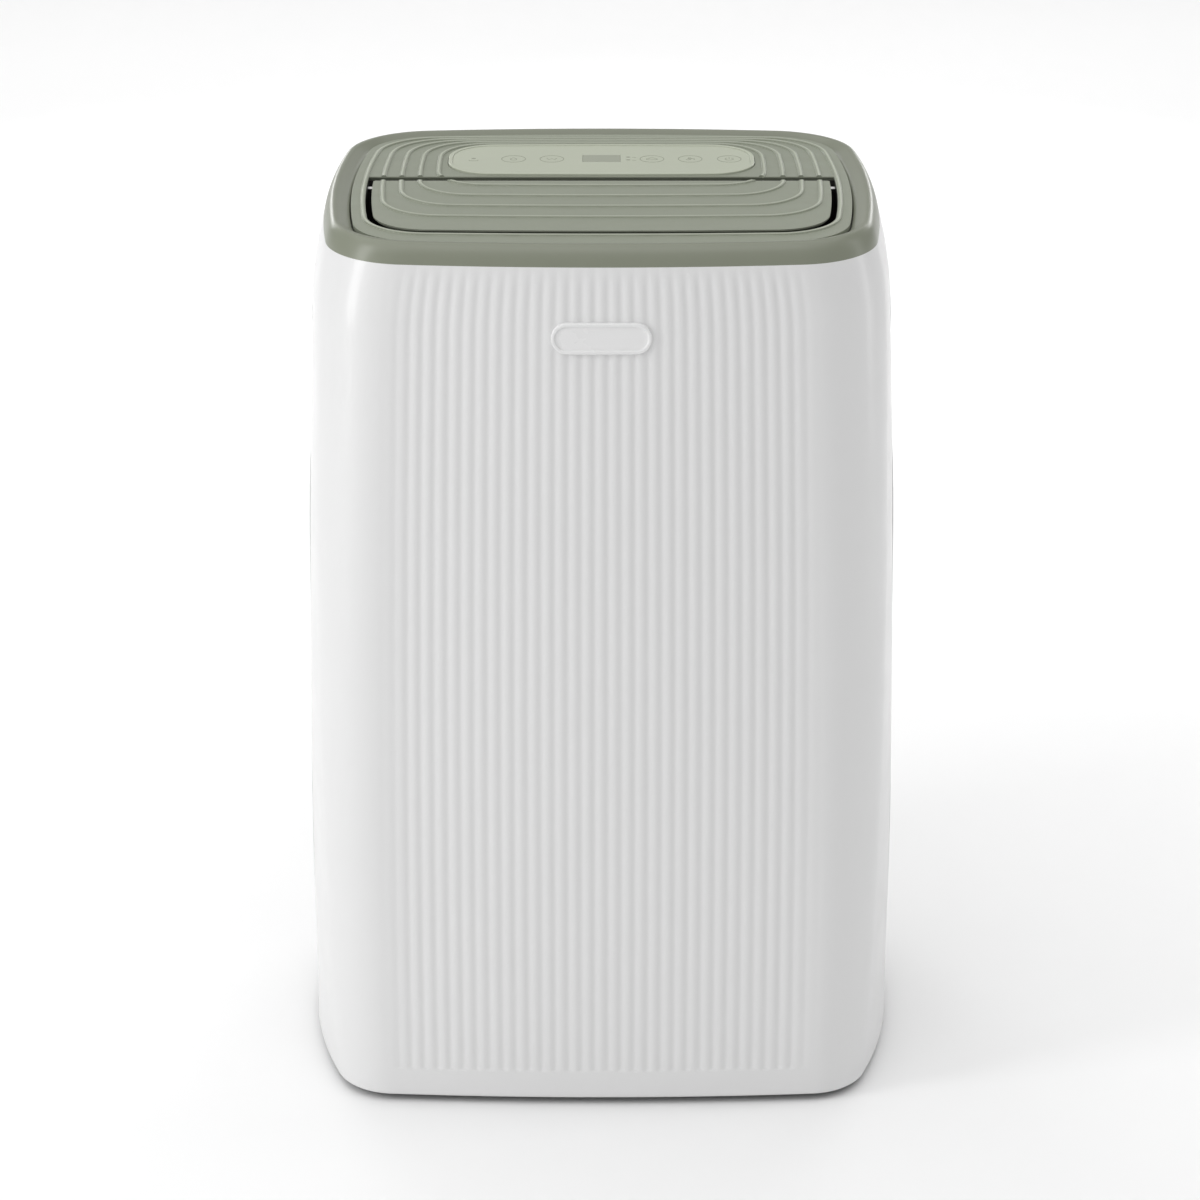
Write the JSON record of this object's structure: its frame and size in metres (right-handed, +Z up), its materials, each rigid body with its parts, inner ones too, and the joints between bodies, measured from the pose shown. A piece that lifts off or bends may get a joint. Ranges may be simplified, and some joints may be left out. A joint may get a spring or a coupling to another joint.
{
  "type": "dehumidifier",
  "caption": "Free-standing room dehumidifier: fluted casing, ribbed top with a tilting air-outlet flap and touch panel, rear grille with filter, sliding water tank and castors.",
  "frame": {"origin": "on the floor under the middle of the casing", "axes": "+Z up, front towards -Y, +X to the right seen from the front"},
  "size_m": [0.3719, 0.276, 0.556],
  "materials": {
    "white_casing": "satin",
    "sage_rim": "satin",
    "sage_top": "matte",
    "pale_sage": "satin",
    "display_dark": "gloss",
    "badge_white": "satin",
    "black_plastic": "matte",
    "grey_plastic": "matte",
    "tank_clear": "gloss",
    "white_foam": "matte",
    "board_green": "satin",
    "copper": "satin",
    "fin_aluminium": "satin",
    "black_enamel": "satin",
    "steel": "brushed",
    "rubber_black": "matte",
    "mesh_grey": "matte",
    "wheel_grey": "matte"
  },
  "bodies": {
    "chassis": {"front_shell": "white_casing", "rear_shell": "white_casing", "side_grips": "white_casing", "badge_plate": "badge_white", "top_rim": "sage_rim", "top_plate": "sage_top", "fascia_border": "pale_sage", "control_fascia": "pale_sage", "display_window": "display_dark", "indicator_lenses": "display_dark", "control_board": "board_green", "outlet_duct": "black_plastic", "outlet_guard": "black_plastic", "flap_motor": "steel", "fan_scroll": "white_foam", "fan_inlet_ring": "black_plastic", "fan_motor": "steel", "base_pan": "grey_plastic", "bay_wall": "grey_plastic", "level_switch": "black_plastic", "drip_tray": "white_foam", "compressor": "black_enamel", "compressor_grommets": "rubber_black", "suction_accumulator": "black_enamel", "filter_drier": "copper", "discharge_pipe": "copper", "suction_pipe": "copper", "liquid_pipe": "copper", "capillary_tube": "copper", "evaporator_fins": "fin_aluminium", "evaporator_tubes": "copper", "condenser_fins": "fin_aluminium", "condenser_tubes": "copper", "power_box": "grey_plastic", "cord_inlet": "black_plastic"},
    "flap": {"outlet_flap": "sage_top", "flap_pins": "steel"},
    "fan": {"fan_impeller": "black_plastic", "fan_shaft": "steel"},
    "filter_cassette": {"rear_grille": "white_casing", "filter_frame": "grey_plastic", "filter_mesh": "mesh_grey"},
    "tank": {"water_tank": "tank_clear", "tank_face": "white_casing", "tank_lid": "white_foam", "float_bracket": "grey_plastic"},
    "bail_handle": {"tank_handle": "grey_plastic"},
    "level_float": {"tank_float": "white_foam"},
    "swivel_front_left": {"castor_fork_front_left": "black_plastic", "castor_axle_front_left": "steel"},
    "roller_front_left": {"castor_wheel_front_left": "wheel_grey"},
    "swivel_front_right": {"castor_fork_front_right": "black_plastic", "castor_axle_front_right": "steel"},
    "roller_front_right": {"castor_wheel_front_right": "wheel_grey"},
    "swivel_rear_left": {"castor_fork_rear_left": "black_plastic", "castor_axle_rear_left": "steel"},
    "roller_rear_left": {"castor_wheel_rear_left": "wheel_grey"},
    "swivel_rear_right": {"castor_fork_rear_right": "black_plastic", "castor_axle_rear_right": "steel"},
    "roller_rear_right": {"castor_wheel_rear_right": "wheel_grey"}
  },
  "joints": [
    {"name": "flap_tilt", "type": "hinge", "parent": "chassis", "child": "flap", "pos_m": [0, 0.011, 0.5492], "axis": [-1, 0, 0], "range_deg": [0, 75]},
    {"name": "fan_spin", "type": "hinge", "parent": "chassis", "child": "fan", "pos_m": [0, -0.06, 0.356], "axis": [0, 1, 0], "continuous": true},
    {"name": "cassette_pull", "type": "slide", "parent": "chassis", "child": "filter_cassette", "axis": [0, 1, 0], "range_m": [0, 0.06]},
    {"name": "tank_slide", "type": "slide", "parent": "chassis", "child": "tank", "axis": [0, 1, 0], "range_m": [0, 0.13]},
    {"name": "handle_swing", "type": "hinge", "parent": "tank", "child": "bail_handle", "pos_m": [0, 0.067, 0.2015], "axis": [1, 0, 0], "range_deg": [0, 90]},
    {"name": "float_swing", "type": "hinge", "parent": "tank", "child": "level_float", "pos_m": [0.104, 0.067, 0.15], "axis": [0, 1, 0], "range_deg": [0, 33]},
    {"name": "swivel_turn_front_left", "type": "hinge", "parent": "chassis", "child": "swivel_front_left", "pos_m": [-0.13, -0.082, 0.04], "axis": [0, 0, 1], "continuous": true},
    {"name": "wheel_spin_front_left", "type": "hinge", "parent": "swivel_front_left", "child": "roller_front_left", "pos_m": [-0.13, -0.074, 0.014], "axis": [1, 0, 0], "continuous": true},
    {"name": "swivel_turn_front_right", "type": "hinge", "parent": "chassis", "child": "swivel_front_right", "pos_m": [0.13, -0.082, 0.04], "axis": [0, 0, 1], "continuous": true},
    {"name": "wheel_spin_front_right", "type": "hinge", "parent": "swivel_front_right", "child": "roller_front_right", "pos_m": [0.13, -0.074, 0.014], "axis": [1, 0, 0], "continuous": true},
    {"name": "swivel_turn_rear_left", "type": "hinge", "parent": "chassis", "child": "swivel_rear_left", "pos_m": [-0.13, 0.082, 0.04], "axis": [0, 0, 1], "continuous": true},
    {"name": "wheel_spin_rear_left", "type": "hinge", "parent": "swivel_rear_left", "child": "roller_rear_left", "pos_m": [-0.13, 0.09, 0.014], "axis": [1, 0, 0], "continuous": true},
    {"name": "swivel_turn_rear_right", "type": "hinge", "parent": "chassis", "child": "swivel_rear_right", "pos_m": [0.13, 0.082, 0.04], "axis": [0, 0, 1], "continuous": true},
    {"name": "wheel_spin_rear_right", "type": "hinge", "parent": "swivel_rear_right", "child": "roller_rear_right", "pos_m": [0.13, 0.09, 0.014], "axis": [1, 0, 0], "continuous": true}
  ]
}
